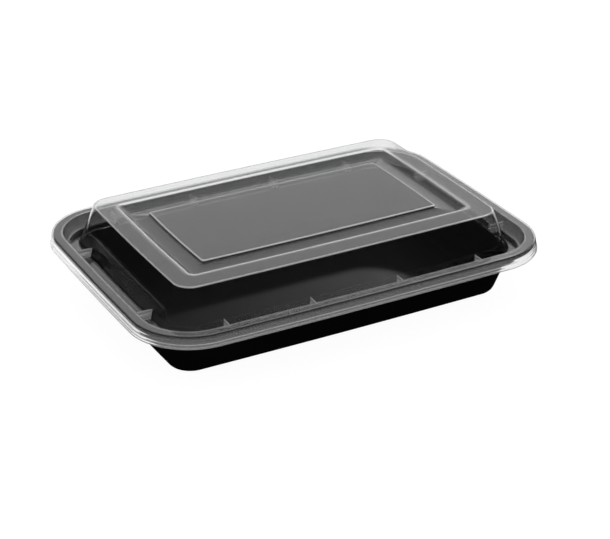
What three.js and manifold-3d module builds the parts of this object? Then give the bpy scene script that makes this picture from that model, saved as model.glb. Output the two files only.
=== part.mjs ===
// A rectangular takeaway meal container: a thin-walled black tray with a clear domed lid snapped on.
// Millimetres, +Z up. The origin is the middle of the tray's underside, and +X is the long way.

import * as THREE from "three";
import { mergeVertices } from "three/addons/utils/BufferGeometryUtils.js";
import Module from "manifold-3d";

const wasm = await Module();
wasm.setup();

// Height of the lid's flat rim above the surface that the tray stands on.
const RIM_TOP = 31.2;

// Sheet thicknesses, and the room between the lid and the tray's rim below it.
const LID_SHEET = 0.5;
const TRAY_SHEET = 0.7;
const SEAT_GAP = 0.3;

// Inner edge of the flat rim: half-length, half-width and corner radius.
const RIM_INNER = { end: 103.5, side: 71.4, corner: 24 };

// How far the middle of each straight side of the rim bulges past its ends.
const SIDE_BOW = 0.85;

// The channel between the rim and the dome.
const CHANNEL_DEPTH = 7;
const CHANNEL_WIDTH = 8;

// The dome, with heights counted from the flat rim. A rounded moat lies between its flat top band and
// the raised panel in the middle. It climbs a little to the panel's foot and in an easy curve to the band.
const DOME_EDGE = { end: 87.6, side: 55.2, corner: 8.8 };
const DOME_HEIGHT = 13.8;
const BAND_INNER = { end: 77.9, side: 44.1, corner: 3.5 };
const PANEL_EDGE = { end: 65.1, side: 30.9, corner: 1.6 };
const PANEL_HEIGHT = 12.8;
const PANEL_FOOT = 11.4;
const MOAT_HEIGHT = 10.5;
const MOAT_SETBACK = 0.55;
const MOAT_LOWEST_AT = 0.6;

// The lid's flat rim and its outer skirt, counted outwards and down from the rim's inner edge. The
// tray's lip ends at the lip drop, and the lid's skirt steps out at the step drop.
const FLAT_RIM_WIDTH = 4.4;
const LIP_DROP = 2.2;
const STEP_DROP = 3.5;
const SKIRT_OUT = 6.6;
const SKIRT_DROP = 6.2;

// The section of the lid's seat from the channel's floor out to the lip, and that of its skirt below.
// Each step is how far in it lies from the rim's inner edge, and its height from the flat rim.
const SEAT_SECTION = [
  [CHANNEL_WIDTH - 0.6, -CHANNEL_DEPTH],
  [3.4, -CHANNEL_DEPTH],
  [2.1, -CHANNEL_DEPTH + 0.45],
  [1.4, -CHANNEL_DEPTH + 1.5],
  [0.25, -0.7],
  [-0.25, -0.15],
  [-0.9, 0],
  [-FLAT_RIM_WIDTH, 0],
  [-FLAT_RIM_WIDTH - 0.8, -0.25],
  [-FLAT_RIM_WIDTH - 1.3, -0.9],
  [-FLAT_RIM_WIDTH - 1.4, -LIP_DROP],
];
const SKIRT_SECTION = [
  [-SKIRT_OUT + 0.75, -STEP_DROP],
  [-SKIRT_OUT + 0.45, -STEP_DROP - 0.45],
  [-SKIRT_OUT + 0.4, -STEP_DROP - 1.35],
  [-SKIRT_OUT + 0.05, -STEP_DROP - 1.75],
  [-SKIRT_OUT, -SKIRT_DROP],
];

// The tray below its ledge: the outline where the walls would meet the floor, the fillet there,
// and the chamfer between the walls and the ledge.
const TRAY_FOOT = { end: 90.2, side: 55.9, corner: 11 };
const FOOT_FILLET = 2.6;
const LEDGE_CHAMFER = 0.45;

// Wedge lugs that stiffen the channel: the half-width of the base, the height, and where they stand.
const LUG_HALF_WIDTH = 1.35;
const LUG_HEIGHT = 4.3;
const LUGS_ON_SIDES = [-69.3, -23.9, 23.9, 69.3];
const LUGS_ON_ENDS = [-36.6, 36.6];

// Each lug's prism reaches past the channel on both sides and is trimmed to it. Its hollow underside
// starts further in, and leaves about one sheet of wall at the flanks and under the ridge.
const LUG_REACH = [0.2, CHANNEL_WIDTH + 3];
const HOLLOW_REACH = [2.6, CHANNEL_WIDTH + 2];
const FLANK_WALL = LID_SHEET * 0.8;
const RIDGE_WALL = LID_SHEET * 1.8;

// Steps round each corner and along the straight stretches.
const CORNER_STEPS = 9;
const SIDE_STEPS = 6;
const END_STEPS = 4;

// A ring is a rounded rectangle at a height above the rim: { end, side, corner, z }.
function inset(base, amount, z) {
  return { end: base.end - amount, side: base.side - amount, corner: base.corner - amount, z };
}

// A ring part of the way between two others.
function between(from, to, share, z) {
  const mix = (key) => from[key] + (to[key] - from[key]) * share;
  return { end: mix("end"), side: mix("side"), corner: mix("corner"), z };
}

// The points of a ring, counter-clockwise seen from above, with its sides bowed outwards.
function ringPoints({ end, side, corner, z }) {
  const radius = Math.max(corner, 0.3);
  const points = [];
  const quarter = Math.PI / 2;
  const corners = [[1, 1], [-1, 1], [-1, -1], [1, -1]];
  corners.forEach(([signX, signY], index) => {
    for (let step = 0; step <= CORNER_STEPS; step++) {
      const angle = quarter * (index + step / CORNER_STEPS);
      const x = signX * (end - radius) + radius * Math.cos(angle);
      const y = signY * (side - radius) + radius * Math.sin(angle);
      points.push(new THREE.Vector3(x, y, z + RIM_TOP));
    }
    const alongSide = index % 2 === 0;
    const steps = alongSide ? SIDE_STEPS : END_STEPS;
    const start = points[points.length - 1].clone();
    const stop = alongSide
      ? new THREE.Vector3(-start.x, start.y, start.z)
      : new THREE.Vector3(start.x, -start.y, start.z);
    for (let step = 1; step < steps; step++) {
      points.push(start.clone().lerp(stop, step / steps));
    }
  });
  const bow = (SIDE_BOW * end) / RIM_INNER.end;
  for (const point of points) {
    const alongX = point.x / end;
    const alongY = point.y / side;
    point.x += bow * alongX * Math.cos(alongY * quarter);
    point.y += bow * alongY * Math.cos(alongX * quarter);
  }
  return points;
}

// The rings of the same sheet's other face: each is moved square to the profile by the thickness.
// A positive thickness goes to the left of the way from one ring to the next, so up off a flat start.
function offsetRings(rings, thickness) {
  const startNormal = { x: 0, z: 1 };
  const unit = (from, to) => {
    const length = Math.hypot(to.end - from.end, to.z - from.z);
    return { x: -(to.z - from.z) / length, z: (to.end - from.end) / length };
  };
  return rings.map((ring, index) => {
    const before = index > 0 ? unit(rings[index - 1], ring) : startNormal;
    const after = index + 1 < rings.length ? unit(ring, rings[index + 1]) : before;
    const x = before.x + after.x;
    const z = before.z + after.z;
    const scale = (2 * thickness) / (x * x + z * z);
    return {
      end: ring.end + x * scale,
      side: ring.side + x * scale,
      corner: ring.corner + x * scale,
      z: ring.z + z * scale,
    };
  });
}

// A closed body through a run of rings. Its first and last ring are filled flat, or joined to each
// other where the body goes all the way round a hole.
function loft(rings, roundHole = false) {
  const loops = rings.map(ringPoints);
  const count = loops[0].length;
  const positions = loops.flat().flatMap((point) => point.toArray());
  const index = [];
  const strip = (row, nextRow) => {
    for (let column = 0; column < count; column++) {
      const next = (column + 1) % count;
      const a = row * count + column;
      const b = row * count + next;
      const c = nextRow * count + column;
      const d = nextRow * count + next;
      index.push(a, c, b, b, c, d);
    }
  };
  const fill = (row, flip) => {
    const centre = positions.length / 3;
    positions.push(0, 0, loops[row][0].z);
    for (let column = 0; column < count; column++) {
      const a = row * count + column;
      const b = row * count + ((column + 1) % count);
      index.push(centre, flip ? b : a, flip ? a : b);
    }
  };
  const last = loops.length - 1;
  for (let row = 0; row < last; row++) {
    strip(row, row + 1);
  }
  if (roundHole) {
    strip(last, 0);
  } else {
    fill(0, false);
    fill(last, true);
  }
  const geometry = new THREE.BufferGeometry();
  geometry.setAttribute("position", new THREE.Float32BufferAttribute(positions, 3));
  geometry.setIndex(index);
  return geometry;
}

function toManifold(geometry) {
  geometry.deleteAttribute("normal");
  geometry.deleteAttribute("uv");
  const merged = mergeVertices(geometry, 1e-5);
  return new wasm.Manifold(new wasm.Mesh({
    numProp: 3,
    vertProperties: new Float32Array(merged.attributes.position.array),
    triVerts: new Uint32Array(merged.index.array),
  }));
}

// The shell that holds the most, without the slivers that a join seals in.
function outerShell(manifold) {
  return manifold.decompose().reduce((best, shell) => (shell.volume() > best.volume() ? shell : best));
}

function toGeometry(manifold) {
  const mesh = manifold.getMesh();
  const geometry = new THREE.BufferGeometry();
  geometry.setAttribute("position", new THREE.BufferAttribute(mesh.vertProperties, 3));
  geometry.setIndex(new THREE.BufferAttribute(mesh.triVerts, 1));
  return geometry;
}

// The lid's upper face where it seats on the tray, from the dome's foot out to the shoulder.
function seatRings() {
  return SEAT_SECTION.map(([inwards, z]) => inset(RIM_INNER, inwards, z));
}

// The height of the moat at a share of the way from the panel's foot out to the band.
function moatHeight(share) {
  if (share < MOAT_LOWEST_AT) {
    return MOAT_HEIGHT + (PANEL_FOOT - MOAT_HEIGHT) * (1 - share / MOAT_LOWEST_AT) ** 2;
  }
  const climb = (share - MOAT_LOWEST_AT) / (1 - MOAT_LOWEST_AT);
  return MOAT_HEIGHT + (DOME_HEIGHT - MOAT_HEIGHT) * (1 - Math.cos(climb * Math.PI)) / 2;
}

// The lid's whole upper face, from the panel's edge out to the bottom of the skirt.
function lidTopRings() {
  const panel = { ...PANEL_EDGE, z: PANEL_HEIGHT };
  const band = { ...BAND_INNER, z: DOME_HEIGHT };
  const domeEdge = { ...DOME_EDGE, z: DOME_HEIGHT };
  const foot = inset(RIM_INNER, CHANNEL_WIDTH, -CHANNEL_DEPTH);
  const panelFoot = { ...inset(PANEL_EDGE, -MOAT_SETBACK, PANEL_FOOT), corner: PANEL_EDGE.corner };
  const rings = [panel, panelFoot];
  for (const share of [0.3, 0.6, 0.68, 0.76, 0.84, 0.92]) {
    rings.push(between(panelFoot, band, share, moatHeight(share)));
  }
  rings.push(band);
  rings.push(inset(domeEdge, 0.7, DOME_HEIGHT));
  for (const share of [0.02, 0.5, 0.96]) {
    rings.push(between(domeEdge, foot, share, DOME_HEIGHT - (DOME_HEIGHT + CHANNEL_DEPTH) * share));
  }
  rings.push(...seatRings());
  rings.push(...SKIRT_SECTION.map(([inwards, z]) => inset(RIM_INNER, inwards, z)));
  return rings;
}

// The tray's inner face, from the floor's edge up to the ledge, over the rim and down its lip.
function trayTopRings() {
  const rim = offsetRings(seatRings(), -(LID_SHEET + SEAT_GAP));
  const ledge = rim[0];
  const floor = TRAY_SHEET - RIM_TOP;
  const foot = inset(TRAY_FOOT, TRAY_SHEET, floor);
  const height = ledge.z - floor;
  const wall = (up) => between(foot, ledge, up / height, floor + up);
  return [
    inset(foot, FOOT_FILLET, floor),
    inset(foot, FOOT_FILLET * 0.35, floor + FOOT_FILLET * 0.2),
    wall(FOOT_FILLET * 0.9),
    wall(height * 0.5),
    wall(height - LEDGE_CHAMFER * 2),
    inset(ledge, -LEDGE_CHAMFER, ledge.z),
    ...rim.slice(1),
  ];
}

// Both faces of a sheet, as one closed body. The underside follows the upper face.
function sheet(topRings, thickness) {
  const under = offsetRings(topRings, -thickness);
  return loft([...topRings, ...under.reverse()]);
}

// A triangular prism with its ridge up, lying across the channel from one inset of the rim to another.
function wedge(halfWidth, base, ridge, [from, to]) {
  const outline = new THREE.Shape([
    new THREE.Vector2(-halfWidth, base),
    new THREE.Vector2(halfWidth, base),
    new THREE.Vector2(0, ridge),
  ]);
  const geometry = new THREE.ExtrudeGeometry(outline, { depth: to - from, bevelEnabled: false });
  geometry.rotateX(Math.PI / 2);
  geometry.rotateZ(-Math.PI / 2);
  geometry.translate(-from, 0, RIM_TOP);
  return geometry;
}

// Every lug of the lid, as a list of copies of one wedge turned to face its side.
function lugs(geometry) {
  const copies = [];
  const put = (turn, x, y) => {
    const copy = geometry.clone();
    copy.rotateZ(turn);
    copy.translate(x, y, 0);
    copies.push(toManifold(copy));
  };
  const bulge = (along, half) => SIDE_BOW * Math.cos((along / half) * (Math.PI / 2));
  for (const x of LUGS_ON_SIDES) {
    const y = RIM_INNER.side + bulge(x, RIM_INNER.end);
    put(Math.PI / 2, x, y);
    put(-Math.PI / 2, x, -y);
  }
  for (const y of LUGS_ON_ENDS) {
    const x = RIM_INNER.end + bulge(y, RIM_INNER.side);
    put(0, x, y);
    put(Math.PI, -x, y);
  }
  return copies;
}

// The space over the channel, from halfway into the sheet all round it up to just over the lugs.
function channelSpace(topRings) {
  const halfway = offsetRings(topRings, -LID_SHEET / 2);
  const top = -CHANNEL_DEPTH + LUG_HEIGHT + 0.5;
  const atTop = (low, high) => between(low, high, (top - low.z) / (high.z - low.z), top);
  const floorAt = halfway.findIndex((ring) => ring.z < -CHANNEL_DEPTH);
  const rimAt = halfway.findIndex((ring, index) => index > floorAt && ring.z > top);
  const firstLow = halfway.findIndex((ring) => ring.z < top);
  return loft([
    atTop(halfway[firstLow], halfway[firstLow - 1]),
    ...halfway.slice(firstLow, rimAt),
    atTop(halfway[rimAt - 1], halfway[rimAt]),
  ].reverse(), true);
}

// The clear lid. Each lug is raised out of the sheet, so it is hollow from below.
function lid() {
  const topRings = lidTopRings();
  const floor = -CHANNEL_DEPTH;
  const ridge = floor + LUG_HEIGHT;
  const space = toManifold(channelSpace(topRings));
  const outer = wedge(LUG_HALF_WIDTH, floor - LID_SHEET, ridge, LUG_REACH);
  const inner = wedge(LUG_HALF_WIDTH - FLANK_WALL, floor - LID_SHEET * 1.5, ridge - RIDGE_WALL, HOLLOW_REACH);
  let body = toManifold(sheet(topRings, LID_SHEET));
  for (const lug of lugs(outer)) {
    body = body.add(lug.intersect(space));
  }
  for (const hollow of lugs(inner)) {
    body = body.subtract(hollow);
  }
  return toGeometry(outerShell(body));
}

function tray() {
  return toGeometry(toManifold(sheet(trayTopRings(), TRAY_SHEET)));
}

const trayMesh = new THREE.Mesh(
  tray(),
  new THREE.MeshStandardMaterial({ color: 0x0b0b0c, roughness: 0.22, metalness: 0 }),
);
trayMesh.name = "tray";

const lidMesh = new THREE.Mesh(
  lid(),
  new THREE.MeshStandardMaterial({
    color: 0xf2f4f5, roughness: 0.08, metalness: 0, transparent: true, opacity: 0.3,
  }),
);
lidMesh.name = "lid";

const container = new THREE.Group();
container.add(trayMesh, lidMesh);

export default container;
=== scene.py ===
import math

import bpy
from mathutils import Matrix, Vector


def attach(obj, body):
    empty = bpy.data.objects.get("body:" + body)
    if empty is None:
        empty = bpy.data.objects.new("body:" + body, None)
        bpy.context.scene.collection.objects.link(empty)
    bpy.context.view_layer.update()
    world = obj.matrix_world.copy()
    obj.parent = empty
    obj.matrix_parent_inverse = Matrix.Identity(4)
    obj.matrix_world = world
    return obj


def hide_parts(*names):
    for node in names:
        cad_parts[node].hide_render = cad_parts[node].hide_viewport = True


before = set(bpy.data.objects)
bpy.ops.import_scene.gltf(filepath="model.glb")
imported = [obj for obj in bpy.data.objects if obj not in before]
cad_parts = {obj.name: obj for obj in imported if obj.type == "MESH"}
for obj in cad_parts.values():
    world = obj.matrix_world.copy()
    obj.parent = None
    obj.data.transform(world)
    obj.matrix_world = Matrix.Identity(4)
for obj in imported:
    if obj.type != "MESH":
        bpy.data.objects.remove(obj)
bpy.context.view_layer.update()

# All sizes are in millimetres, apart from those of the floor and its glow.
MM = 0.001

# Height of the lid's flat rim above the surface that the tray stands on.
RIM_TOP = 31.2

# Sheet thicknesses, and the room between the lid and the tray's rim below it.
LID_SHEET = 0.5
TRAY_SHEET = 0.7
SEAT_GAP = 0.3

# Rings are rounded rectangles: half-length, half-width, corner radius.
RIM_INNER = (103.5, 71.4, 24.0)
DOME_EDGE = (87.6, 55.2, 8.8)
BAND_INNER = (77.9, 44.1, 3.5)
PANEL_EDGE = (65.1, 30.9, 1.6)
TRAY_FOOT = (90.2, 55.9, 11.0)

# No corner of a ring is drawn sharper than this.
SMALLEST_CORNER = 0.3

# Heights and depths, counted from the flat rim.
CHANNEL_DEPTH = 7.0
DOME_HEIGHT = 13.8
PANEL_HEIGHT = 12.8
PANEL_FOOT = 11.4
MOAT_HEIGHT = 10.5
SKIRT_DROP = 6.2
LIP_DROP = 2.2
STEP_DROP = 3.5

# Widths from the rim's inner edge, and how far outside the panel's edge its foot lies.
CHANNEL_WIDTH = 8.0
FLAT_RIM_WIDTH = 4.4
SKIRT_OUT = 6.6
MOAT_SETBACK = 0.55

# Where the moat is lowest, as a share of the way from the panel's foot out to the band.
MOAT_LOWEST_AT = 0.6

# How far the middle of each straight side of the rim bulges past its ends.
SIDE_BOW = 0.85

# Sections of the sheets. Each step is how far in it lies from its outline, its height from the flat rim,
# how far its crease is cut back to round it, and how milky the crease is on the lid; that milkiness also
# paints a highlight along the crease.
PANEL_SECTION = [
    (4.0, PANEL_HEIGHT, 0.0, 0.0),
    (0.0, PANEL_HEIGHT, 0.75, 0.95),
]
BAND_SECTION = [
    (-0.6, DOME_HEIGHT, 0.0, 0.25),
    (-2.0, DOME_HEIGHT, 0.0, 0.0),
]
DOME_SECTION = [
    (0.0, DOME_HEIGHT, 0.7, 0.6),
]
SEAT_SECTION = [
    (2.1, -CHANNEL_DEPTH, 1.6, 0.0),
    (1.4, -CHANNEL_DEPTH + 1.2, 0.8, 0.0),
    (0.05, 0.0, 0.75, 0.5),
    (-FLAT_RIM_WIDTH - 0.9, 0.0, 1.1, 0.0),
    (-FLAT_RIM_WIDTH - 1.4, -LIP_DROP, 0.3, 0.0),
]
SKIRT_SECTION = [
    (-SKIRT_OUT + 0.75, -STEP_DROP, 0.25, 0.3),
    (-SKIRT_OUT + 0.45, -STEP_DROP - 0.45, 0.3, 0.7),
    (-SKIRT_OUT + 0.4, -STEP_DROP - 1.35, 0.25, 0.2),
    (-SKIRT_OUT + 0.05, -STEP_DROP - 1.75, 0.3, 0.55),
    (-SKIRT_OUT, -SKIRT_DROP, 0.0, 0.45),
]

# How far the creases at the feet of the panel, the dome and the tray and at the tray's ledge are cut back,
# and how milky the panel's foot is, milkiness that also paints a highlight along it.
PANEL_FOOT_CUT = 0.6
PANEL_FOOT_HAZE_AND_HIGHLIGHT = 0.15
DOME_FOOT_CUT = 0.6
TRAY_FOOT_CUT = 3.2
LEDGE_CUT = 1.0

# The lid's lower face has this share of its upper face's cuts, and no cut takes more than the last share of
# the step beside it.
UNDER_CUTS = 0.6
LARGEST_CUT = 0.45

# Where the tray's ledge begins inside the rim's inner edge, and the flat of its floor inside its foot.
LEDGE_INSET = CHANNEL_WIDTH - 0.6
FLOOR_INSET = 9.0

# Wedge lugs across the channel: their size and slope, where they stand, how far in from the rim they reach,
# and how soft their feet are.
LUG_HALF_WIDTH = 1.35
LUG_HEIGHT = 4.3
LUG_TOP = -CHANNEL_DEPTH + LUG_HEIGHT
LUG_SLOPE = LUG_HEIGHT / LUG_HALF_WIDTH
LUGS_ON_SIDES = (-69.3, -23.9, 23.9, 69.3)
LUGS_ON_ENDS = (-36.6, 36.6)
LUG_LENGTH = CHANNEL_WIDTH + 3
LUG_SOFTNESS = 0.1

# How milky the lid is, from nought for clear to one: the lugs' flanks and edges, the skirt, the shoulder
# above it and the channel's outer wall. Along the lugs' edges the milkiness also paints a highlight. On its
# lower face, lugs and creases have a share of their milkiness and painted highlight.
FLANK_HAZE = 0.4
LUG_EDGE_HAZE_AND_HIGHLIGHT = 0.85
SKIRT_HAZE = 0.2
SHOULDER_HAZE = 0.06
WALL_HAZE = 0.24
UNDER_HAZE_AND_HIGHLIGHT = 0.35

# Where the even haze begins: half-lengths, and the height below which the channel's wall is milky.
SKIRT_FROM = RIM_INNER[0] + SKIRT_OUT - 1.0
SHOULDER_FROM = RIM_INNER[0] + FLAT_RIM_WIDTH + 0.6
WALL_FROM = RIM_INNER[0] - 2.4
WALL_BELOW = -0.3

# The moat's milky stretches, which also paint highlights, where it turns over into the band and on its
# outer wall: how milky each is, its middle on the way from the panel's foot to the band, and its width.
MOAT_HAZES_AND_HIGHLIGHTS = [(0.8, 0.975, 0.045), (0.1, 0.78, 0.12)]

# How wide the milky lines at the lugs' feet and along their ridges are; the lines also paint highlights
# there.
LUG_FOOT_LINE = 0.4
LUG_RIDGE_LINE = 0.5

# Mesh steps: round each corner, across the moat, along the straight stretches, across the lugs and the
# channel, and round each crease of the profile.
CORNER_STEPS = 22
MOAT_STEPS = 20
SIDE_SPACING = 6.0
LUG_SPACING = 0.25
CHANNEL_SPACING = 0.5
CREASE_STEPS = 4

# Close steps reach this far from a lug's middle, and lie between these heights in the channel.
LUG_REACH = LUG_HALF_WIDTH + 3 * LUG_SPACING
CLOSE_FROM = -CHANNEL_DEPTH - 1
CLOSE_TO = LUG_TOP + 0.6

# Wide steps keep this much further from the lugs, and no point this much higher than they are is lifted.
LUG_MARGIN = 1

# The photograph's camera, found from the container's outlines.
IMAGE_WIDTH = 610
FOCAL_PIXELS = 1763.1
AZIMUTH = -28.607
ELEVATION = 27.063
ROLL = -0.054
DISTANCE = 891.8
SHIFT_RIGHT = -6.133
SHIFT_UP = 19.373

# The studio's strength as it is seen directly. Reflections see it brightest towards one side instead: the
# first pair is how far towards that side the light starts and is full, the second its strengths there.
STUDIO_STRENGTH = 1.03
BRIGHT_SIDE = (0.62, 0.72, 0.31)
BRIGHT_FROM_TO = (0.35, 0.97)
BRIGHT_STRENGTHS = (0.04, 0.88)

# The floor, in metres: its half-size, how far it lies below the tray, and its glow as it is seen directly.
FLOOR_HALF = 4.0
FLOOR_DROP = 0.0002
FLOOR_GLOW = 0.95

# The floor as reflections see it, in metres: it glows behind the container, near it and, less, towards its
# bright side. Each pair is where the glow starts and where it is full.
FLOOR_BEHIND = (-0.02, 0.08)
FLOOR_NEAR = (0.38, 0.22)
BRIGHT_FLOOR_SIDE = (0.7, 0.6, 0.0)
BRIGHT_FLOOR_FROM_TO = (0.06, 0.14)
BRIGHT_FLOOR_GLOWS = (0.0, 0.85)

# Where the low back light comes from, its strength, and its width in degrees.
BACK_LIGHT_FROM = (1.61, 2.45, 1.0)
BACK_LIGHT = 0.8
BACK_LIGHT_WIDTH = 1.5


# Profile work. A profile point is (half-length, half-width, corner radius, height, crease cut, haze with
# its painted highlight).

def ring(base, inset, z, cut=0.0, haze_and_highlight=0.0):
    """A profile point that lies inside a base outline by an inset."""
    return (base[0] - inset, base[1] - inset, base[2] - inset, z, cut, haze_and_highlight)


def section(base, steps):
    """The profile points of a section's steps inside a base outline."""
    return [ring(base, *step) for step in steps]


def between(first, second, share, z, haze_and_highlight):
    """A profile point without a crease, part of the way between two outlines."""
    mixed = [first[i] + (second[i] - first[i]) * share for i in range(3)]
    return (*mixed, z, 0.0, haze_and_highlight)


def offset_profile(points, distance, cuts=1.0, hazes_and_highlights=0.0):
    """The profile of a sheet's other face, square to the first by a distance."""
    def normal(a, b):
        length = math.hypot(b[0] - a[0], b[3] - a[3])
        return (-(b[3] - a[3]) / length, (b[0] - a[0]) / length)

    moved = []
    for i, point in enumerate(points):
        before = normal(points[i - 1], point) if i else (0.0, 1.0)
        after = normal(point, points[i + 1]) if i + 1 < len(points) else before
        x = before[0] + after[0]
        z = before[1] + after[1]
        scale = 2 * distance / (x * x + z * z)
        moved.append((point[0] + x * scale, point[1] + x * scale, point[2] + x * scale,
                      point[3] + z * scale, point[4] * cuts, point[5] * hazes_and_highlights))
    return moved


def round_creases(points):
    """Rounds each corner of a profile by its cut, and gives each new point its share of the haze and
    painted highlight there.
    """
    result = []
    for i, point in enumerate(points):
        inner = 0 < i < len(points) - 1
        if not inner or point[4] <= 0:
            result.append((*point[:4], point[5]))
            continue
        ends = []
        for other in (points[i - 1], points[i + 1]):
            length = math.hypot(other[0] - point[0], other[3] - point[3])
            share = min(point[4] / length, LARGEST_CUT)
            ends.append([point[k] + (other[k] - point[k]) * share for k in range(4)])
        start, stop = ends
        for step in range(CREASE_STEPS + 1):
            t = step / CREASE_STEPS
            first, middle, last = (1 - t) ** 2, 2 * t * (1 - t), t * t
            mixed = [first * start[k] + middle * point[k] + last * stop[k] for k in range(4)]
            result.append((*mixed, point[5] * math.sin(math.pi * t)))
    return result


# From here on a profile point is (half-length, half-width, corner radius, height, haze with its painted
# highlight).

def even_haze(point):
    """How milky the lid is at a profile point, apart from its creases."""
    end, z = point[0], point[3]
    if end > SKIRT_FROM:
        return SKIRT_HAZE
    if end > SHOULDER_FROM:
        return SHOULDER_HAZE
    if WALL_FROM < end < RIM_INNER[0] and z < WALL_BELOW:
        return WALL_HAZE
    return 0.0


def milky(points):
    """A profile with its even haze."""
    return [(*point[:4], max(point[4], even_haze(point))) for point in points]


def fill_gaps(points, longest, low, high):
    """Adds points so that no step of the profile between two heights is longer than a limit."""
    result = [points[0]]
    for a, b in zip(points, points[1:]):
        length = math.hypot(b[0] - a[0], b[3] - a[3])
        inside = min(a[3], b[3]) < high and max(a[3], b[3]) > low
        steps = max(1, math.ceil(length / longest)) if inside else 1
        for step in range(1, steps + 1):
            result.append(tuple(a[k] + (b[k] - a[k]) * step / steps for k in range(5)))
    return result


def stretch(half, lugs):
    """Places along a straight stretch from +half to -half, close together at each lug."""
    places = {half, -half}
    count = math.ceil(2 * half / SIDE_SPACING)
    for i in range(1, count):
        x = half - 2 * half * i / count
        if all(abs(x - lug) > LUG_REACH + LUG_MARGIN for lug in lugs):
            places.add(x)
    for lug in lugs:
        steps = round(LUG_REACH / LUG_SPACING)
        places.update(lug + i * LUG_SPACING for i in range(-steps, steps + 1))
    return sorted(places, reverse=True)


def outline(point, side_places, end_places):
    """The points of one ring, counter-clockwise from above, in millimetres from the middle."""
    end, side, corner, z = point[:4]
    radius = max(corner, SMALLEST_CORNER)
    straight = (end - radius, side - radius)
    rim_straight = (RIM_INNER[0] - RIM_INNER[2], RIM_INNER[1] - RIM_INNER[2])
    places = []
    for index, (sign_x, sign_y) in enumerate(((1, 1), (-1, 1), (-1, -1), (1, -1))):
        for step in range(CORNER_STEPS + 1):
            angle = math.pi / 2 * (index + step / CORNER_STEPS)
            x = sign_x * straight[0] + radius * math.cos(angle)
            y = sign_y * straight[1] + radius * math.sin(angle)
            places.append((x, y))
        along_side = index % 2 == 0
        run = side_places if along_side else end_places
        # The second long side and the second end are walked the other way.
        way = 1 if index < 2 else -1
        for place in run[1:-1]:
            if along_side:
                places.append((way * place * straight[0] / rim_straight[0], sign_y * side))
            else:
                places.append((sign_x * end, way * place * straight[1] / rim_straight[1]))
    bow = SIDE_BOW * end / RIM_INNER[0]
    bowed = []
    for x, y in places:
        bulge_x = bow * x / end * math.cos(y / side * math.pi / 2)
        bulge_y = bow * y / side * math.cos(x / end * math.pi / 2)
        bowed.append((x + bulge_x, y + bulge_y, z))
    return bowed


def lug_height(x, y):
    """The height of the lugs' upper face over a place, or None where there is no lug."""
    for along, across, half, run, lugs in ((x, y, RIM_INNER[1], RIM_INNER[0], LUGS_ON_SIDES),
                                           (y, x, RIM_INNER[0], RIM_INNER[1], LUGS_ON_ENDS)):
        inset = half + SIDE_BOW * math.cos(along / run * math.pi / 2) - abs(across)
        nearest = min(abs(along - lug) for lug in lugs)
        if 0 < inset < LUG_LENGTH and nearest < LUG_REACH:
            return LUG_TOP - nearest * LUG_SLOPE
    return None


def raise_lugs(x, y, z, drop):
    """Lifts a point of the sheet onto a lug. Gives the new height and the haze and painted highlight there.
    """
    if z > LUG_TOP + LUG_MARGIN:
        return z, 0.0
    height = lug_height(x, y)
    if height is None:
        return z, 0.0
    height -= drop
    lifted = (z + height + math.hypot(z - height, 2 * LUG_SOFTNESS)) / 2
    # The lines at the lugs' feet and ridges are milky and also paint highlights along those edges.
    near_foot = math.exp(-((z - height) / LUG_FOOT_LINE) ** 2)
    near_ridge = math.exp(-((LUG_TOP - drop - height) / LUG_RIDGE_LINE) ** 2) if height > z else 0.0
    flank = FLANK_HAZE if height > z else 0.0
    return lifted, max(flank, LUG_EDGE_HAZE_AND_HIGHLIGHT * max(near_foot, near_ridge))


def sheet_mesh(name, top, under, places, with_lugs=False):
    """One closed mesh of a thin sheet, from the profiles of its two faces."""
    lug_drop = LID_SHEET * math.hypot(1, LUG_SLOPE)
    rows = [(point, 0.0) for point in top] + [(point, lug_drop) for point in reversed(under)]
    vertices = []
    hazes_and_highlights = []
    for point, drop in rows:
        for x, y, z in outline(point, *places):
            # Milkiness per point, which along creases and lug edges also paints a highlight.
            haze_and_highlight = point[4]
            if with_lugs:
                z, lug_haze_and_highlight = raise_lugs(x, y, z, drop)
                haze_and_highlight = max(haze_and_highlight, lug_haze_and_highlight * (UNDER_HAZE_AND_HIGHLIGHT if drop else 1.0))
            vertices.append((x * MM, y * MM, (z + RIM_TOP) * MM))
            hazes_and_highlights.append(haze_and_highlight)
    count = len(vertices) // len(rows)
    faces = []
    for row in range(len(rows) - 1):
        for column in range(count):
            a = row * count + column
            b = row * count + (column + 1) % count
            faces.append((a, a + count, b + count, b))
    for row, flip in ((0, False), (len(rows) - 1, True)):
        centre = len(vertices)
        vertices.append((0.0, 0.0, vertices[row * count][2]))
        hazes_and_highlights.append(0.0)
        for column in range(count):
            a = row * count + column
            b = row * count + (column + 1) % count
            faces.append((centre, b, a) if flip else (centre, a, b))
    mesh = bpy.data.meshes.new(name)
    mesh.from_pydata(vertices, [], faces)
    mesh.shade_smooth()
    attribute = mesh.attributes.new("haze_and_highlight", "FLOAT", "POINT")
    attribute.data.foreach_set("value", hazes_and_highlights)
    piece = bpy.data.objects.new(name, mesh)
    bpy.context.scene.collection.objects.link(piece)
    weighted = piece.modifiers.new("even shading", "WEIGHTED_NORMAL")
    weighted.mode = "FACE_AREA"
    weighted.keep_sharp = False
    return piece


def straight_places(lugs_on_sides, lugs_on_ends):
    """Places along the straight stretches of the long sides and of the ends."""
    return (stretch(RIM_INNER[0] - RIM_INNER[2], lugs_on_sides),
            stretch(RIM_INNER[1] - RIM_INNER[2], lugs_on_ends))


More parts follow.
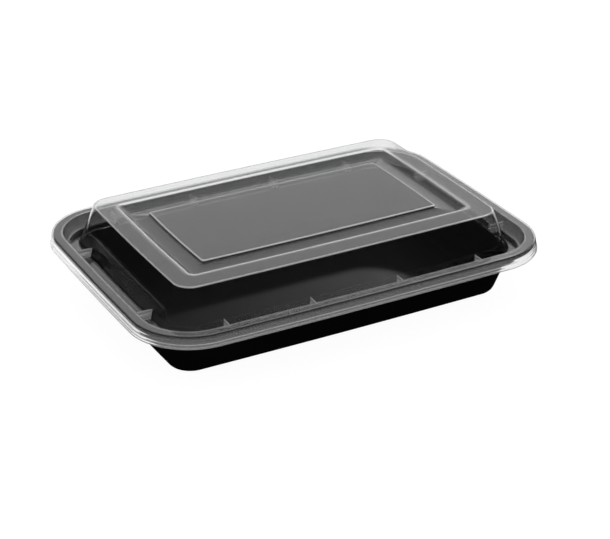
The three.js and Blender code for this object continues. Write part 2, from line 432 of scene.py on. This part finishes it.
def moat_height(share):
    """The height of the moat at a share of the way from the panel's foot out to the band."""
    if share < MOAT_LOWEST_AT:
        return MOAT_HEIGHT + (PANEL_FOOT - MOAT_HEIGHT) * (1 - share / MOAT_LOWEST_AT) ** 2
    climb = (share - MOAT_LOWEST_AT) / (1 - MOAT_LOWEST_AT)
    return MOAT_HEIGHT + (DOME_HEIGHT - MOAT_HEIGHT) * (1 - math.cos(climb * math.pi)) / 2


def moat_haze_and_highlight(share):
    """How milky the moat is at that share of the way; the milkiness also paints highlights."""
    return sum(most * math.exp(-((share - middle) / width) ** 2) for most, middle, width in MOAT_HAZES_AND_HIGHLIGHTS)


def moat_section(panel_foot):
    """The profile points of the moat, from beside the panel's foot out to the band."""
    shares = [i / MOAT_STEPS for i in range(1, MOAT_STEPS + 1)]
    return [between(panel_foot, BAND_INNER, share, moat_height(share), moat_haze_and_highlight(share))
            for share in shares]


def lid_piece():
    """The clear lid."""
    foot_end, foot_side = (half + MOAT_SETBACK for half in PANEL_EDGE[:2])
    panel_foot = (foot_end, foot_side, PANEL_EDGE[2], PANEL_FOOT, PANEL_FOOT_CUT, PANEL_FOOT_HAZE_AND_HIGHLIGHT)
    top = [
        *section(PANEL_EDGE, PANEL_SECTION),
        panel_foot,
        *moat_section(panel_foot),
        *section(BAND_INNER, BAND_SECTION),
        *section(DOME_EDGE, DOME_SECTION),
        ring(RIM_INNER, CHANNEL_WIDTH, -CHANNEL_DEPTH, DOME_FOOT_CUT),
        *section(RIM_INNER, SEAT_SECTION),
        *section(RIM_INNER, SKIRT_SECTION),
    ]
    under = offset_profile(top, -LID_SHEET, UNDER_CUTS, UNDER_HAZE_AND_HIGHLIGHT)
    top, under = (fill_gaps(milky(round_creases(face)), CHANNEL_SPACING, CLOSE_FROM, CLOSE_TO)
                  for face in (top, under))
    places = straight_places(LUGS_ON_SIDES, LUGS_ON_ENDS)
    return sheet_mesh("clear_lid", top, under, places, with_lugs=True)


def tray_piece():
    """The black tray."""
    lid_seat = [ring(RIM_INNER, LEDGE_INSET, -CHANNEL_DEPTH), *section(RIM_INNER, SEAT_SECTION)]
    ledge, *rim = offset_profile(lid_seat, -(LID_SHEET + SEAT_GAP))
    floor = TRAY_SHEET - RIM_TOP
    top = [
        ring(TRAY_FOOT, FLOOR_INSET, floor),
        ring(TRAY_FOOT, TRAY_SHEET, floor, TRAY_FOOT_CUT),
        (*ledge[:4], LEDGE_CUT, 0.0),
        *rim,
    ]
    under = offset_profile(top, -TRAY_SHEET)
    return sheet_mesh("black_tray", round_creases(top), round_creases(under), straight_places((), ()))


# Materials.

def new_material(name):
    """A material with its node tree and its shader."""
    material = bpy.data.materials.new(name)
    material.use_nodes = True
    tree = material.node_tree
    shader = tree.nodes["Principled BSDF"]
    return material, tree, shader


def link(tree, source, output, target, socket):
    """Links one node's output to another node's socket."""
    tree.links.new(source.outputs[output], target.inputs[socket])


def ramp(tree, source, output, values):
    """A value that goes from the first to the second of two while its source goes from nought to one."""
    step = tree.nodes.new("ShaderNodeMapRange")
    step.inputs["To Min"].default_value = values[0]
    step.inputs["To Max"].default_value = values[1]
    link(tree, source, output, step, "Value")
    return step


def smooth_step(tree, source, output, ends, values=(0.0, 1.0)):
    """A ramp that goes smoothly while its source goes between two ends."""
    step = ramp(tree, source, output, values)
    step.interpolation_type = "SMOOTHSTEP"
    step.inputs["From Min"].default_value = ends[0]
    step.inputs["From Max"].default_value = ends[1]
    return step


def unevenness(tree, shader, scale, depth):
    """A faint ripple in the surface, as thin moulded sheet has."""
    place = tree.nodes.new("ShaderNodeTexCoord")
    noise = tree.nodes.new("ShaderNodeTexNoise")
    noise.inputs["Scale"].default_value = scale
    bump = tree.nodes.new("ShaderNodeBump")
    bump.inputs["Distance"].default_value = depth
    link(tree, place, "Object", noise, "Vector")
    link(tree, noise, "Fac", bump, "Height")
    link(tree, bump, "Normal", shader, "Normal")
    return noise


def tray_material():
    """Black polypropylene with a slightly uneven sheen."""
    material, tree, shader = new_material("black_polypropylene")
    shader.inputs["Base Color"].default_value = (0.0012, 0.0012, 0.0013, 1)
    shader.inputs["IOR"].default_value = 1.49
    shader.inputs["Specular IOR Level"].default_value = 0.02
    noise = unevenness(tree, shader, scale=40, depth=0.000004)
    gloss = ramp(tree, noise, "Fac", (0.36, 0.44))
    link(tree, gloss, "Result", shader, "Roughness")
    return material


def lid_material():
    """Clear polypropylene, milky with painted highlights and painted shade by the mesh's haze, that lets
    light through to the tray.
    """
    material, tree, shader = new_material("clear_polypropylene")
    shader.inputs["IOR"].default_value = 1.49
    unevenness(tree, shader, scale=22, depth=0.000012)
    # The mesh's milkiness, which along creases and lug edges is also a painted highlight.
    haze_and_highlight = tree.nodes.new("ShaderNodeAttribute")
    haze_and_highlight.attribute_name = "haze_and_highlight"
    clearness = ramp(tree, haze_and_highlight, "Fac", (1.0, 0.55))
    link(tree, clearness, "Result", shader, "Transmission Weight")
    blur = ramp(tree, haze_and_highlight, "Fac", (0.0, 0.25))
    link(tree, blur, "Result", shader, "Roughness")
    # Painted shade: the milkier the lid, the greyer its base colour, standing in for the dimmer light that
    # milky plastic scatters from the dark room in front.
    tint_and_painted_shade = tree.nodes.new("ShaderNodeMix")
    tint_and_painted_shade.data_type = "RGBA"
    tint_and_painted_shade.inputs["A"].default_value = (0.92, 0.925, 0.925, 1)
    tint_and_painted_shade.inputs["B"].default_value = (0.82, 0.825, 0.83, 1)
    link(tree, haze_and_highlight, "Fac", tint_and_painted_shade, "Factor")
    link(tree, tint_and_painted_shade, "Result", shader, "Base Color")
    clear = tree.nodes.new("ShaderNodeBsdfTransparent")
    clear.inputs["Color"].default_value = (0.9, 0.9, 0.9, 1)
    path = tree.nodes.new("ShaderNodeLightPath")
    mix = tree.nodes.new("ShaderNodeMixShader")
    link(tree, path, "Is Shadow Ray", mix, 0)
    link(tree, shader, "BSDF", mix, 1)
    link(tree, clear, "BSDF", mix, 2)
    link(tree, mix, "Shader", tree.nodes["Material Output"], "Surface")
    return material


# The stage: a pale floor, a white studio and its soft light.

def combined(tree, operation, first, second):
    """The maximum or the product of two nodes' values."""
    result = tree.nodes.new("ShaderNodeMath")
    result.operation = operation
    link(tree, first, 0, result, 0)
    link(tree, second, 0, result, 1)
    return result


def towards(tree, place, output, side):
    """How far a place or a direction goes towards a side."""
    lean = tree.nodes.new("ShaderNodeVectorMath")
    lean.operation = "DOT_PRODUCT"
    lean.inputs[1].default_value = side
    link(tree, place, output, lean, 0)
    return lean


def seen_or_mirrored(tree, seen, mirrored):
    """One value as it is seen directly, and another's for light that comes over at least one reflection."""
    path = tree.nodes.new("ShaderNodeLightPath")
    test = tree.nodes.new("ShaderNodeMath")
    test.operation = "GREATER_THAN"
    test.inputs[1].default_value = 0.5
    link(tree, path, "Glossy Depth", test, 0)
    mix = tree.nodes.new("ShaderNodeMix")
    mix.inputs["A"].default_value = seen
    link(tree, test, "Value", mix, "Factor")
    link(tree, mirrored, 0, mix, "B")
    return mix


def floor_piece():
    """A pale floor under the container."""
    mesh = bpy.data.meshes.new("floor")
    corners = [(x * FLOOR_HALF, y * FLOOR_HALF, 0) for x, y in ((-1, -1), (1, -1), (1, 1), (-1, 1))]
    mesh.from_pydata(corners, [], [(0, 1, 2, 3)])
    floor = bpy.data.objects.new("floor", mesh)
    floor.location.z = -FLOOR_DROP
    bpy.context.scene.collection.objects.link(floor)
    material, tree, shader = new_material("pale_floor")
    shader.inputs["Roughness"].default_value = 0.9
    shader.inputs["Specular IOR Level"].default_value = 0.0
    shader.inputs["Base Color"].default_value = (0.09, 0.09, 0.09, 1)
    shader.inputs["Emission Color"].default_value = (1, 1, 1, 1)
    place = tree.nodes.new("ShaderNodeTexCoord")
    across = tree.nodes.new("ShaderNodeSeparateXYZ")
    link(tree, place, "Object", across, "Vector")
    behind = smooth_step(tree, across, "Y", FLOOR_BEHIND)
    reach = tree.nodes.new("ShaderNodeVectorMath")
    reach.operation = "LENGTH"
    link(tree, place, "Object", reach, 0)
    near = smooth_step(tree, reach, "Value", FLOOR_NEAR)
    lean = towards(tree, place, "Object", BRIGHT_FLOOR_SIDE)
    bright_side = smooth_step(tree, lean, "Value", BRIGHT_FLOOR_FROM_TO, BRIGHT_FLOOR_GLOWS)
    lit = combined(tree, "MULTIPLY", behind, combined(tree, "MAXIMUM", near, bright_side))
    glow = seen_or_mirrored(tree, FLOOR_GLOW, lit)
    link(tree, glow, "Result", shader, "Emission Strength")
    mesh.materials.append(material)


def studio():
    """White all round as seen directly. Reflections see it lit behind on the right and dark in front."""
    world = bpy.data.worlds.new("studio")
    bpy.context.scene.world = world
    world.use_nodes = True
    tree = world.node_tree
    back = tree.nodes["Background"]
    back.inputs["Color"].default_value = (1, 1, 1, 1)
    place = tree.nodes.new("ShaderNodeTexCoord")
    lean = towards(tree, place, "Generated", BRIGHT_SIDE)
    glow = smooth_step(tree, lean, "Value", BRIGHT_FROM_TO, BRIGHT_STRENGTHS)
    strength = seen_or_mirrored(tree, STUDIO_STRENGTH, glow)
    link(tree, strength, "Result", back, "Strength")


def back_light(tray):
    """A low light from behind on the right, for the tray alone: it reaches the near half of its floor."""
    data = bpy.data.lights.new("back_light", "SUN")
    data.energy = BACK_LIGHT
    data.angle = math.radians(BACK_LIGHT_WIDTH)
    light = bpy.data.objects.new("back_light", data)
    light.rotation_euler = Vector(BACK_LIGHT_FROM).to_track_quat("Z", "Y").to_euler()
    bpy.context.scene.collection.objects.link(light)
    lit = bpy.data.collections.new("lit_by_back_light")
    lit.objects.link(tray)
    light.light_linking.receiver_collection = lit


def camera():
    """The photograph's view of the container."""
    azimuth = math.radians(AZIMUTH)
    elevation = math.radians(ELEVATION)
    roll = math.radians(ROLL)
    back = Vector((math.sin(azimuth) * math.cos(elevation), -math.cos(azimuth) * math.cos(elevation),
                   math.sin(elevation)))
    level = Vector((0, 0, 1)).cross(back).normalized()
    upright = back.cross(level)
    right = level * math.cos(roll) + upright * math.sin(roll)
    up = upright * math.cos(roll) - level * math.sin(roll)
    place = back * DISTANCE - right * SHIFT_RIGHT - up * SHIFT_UP + Vector((0, 0, RIM_TOP))
    data = bpy.data.cameras.new("camera")
    data.sensor_width = 36
    data.lens = FOCAL_PIXELS * data.sensor_width / IMAGE_WIDTH
    viewer = bpy.data.objects.new("camera", data)
    turn = Matrix((right, up, back)).transposed().to_4x4()
    viewer.matrix_world = Matrix.Translation(place * MM) @ turn
    bpy.context.scene.collection.objects.link(viewer)
    bpy.context.scene.camera = viewer


def finish_piece(piece, node, material):
    """Gives a piece its material, hides the part it stands in for, and gives it its body."""
    piece.data.materials.append(material)
    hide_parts(node)
    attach(piece, "root")


camera()
floor_piece()
studio()
tray = tray_piece()
back_light(tray)
finish_piece(tray, "tray", tray_material())
finish_piece(lid_piece(), "lid", lid_material())
bpy.context.scene.view_settings.view_transform = "Standard"
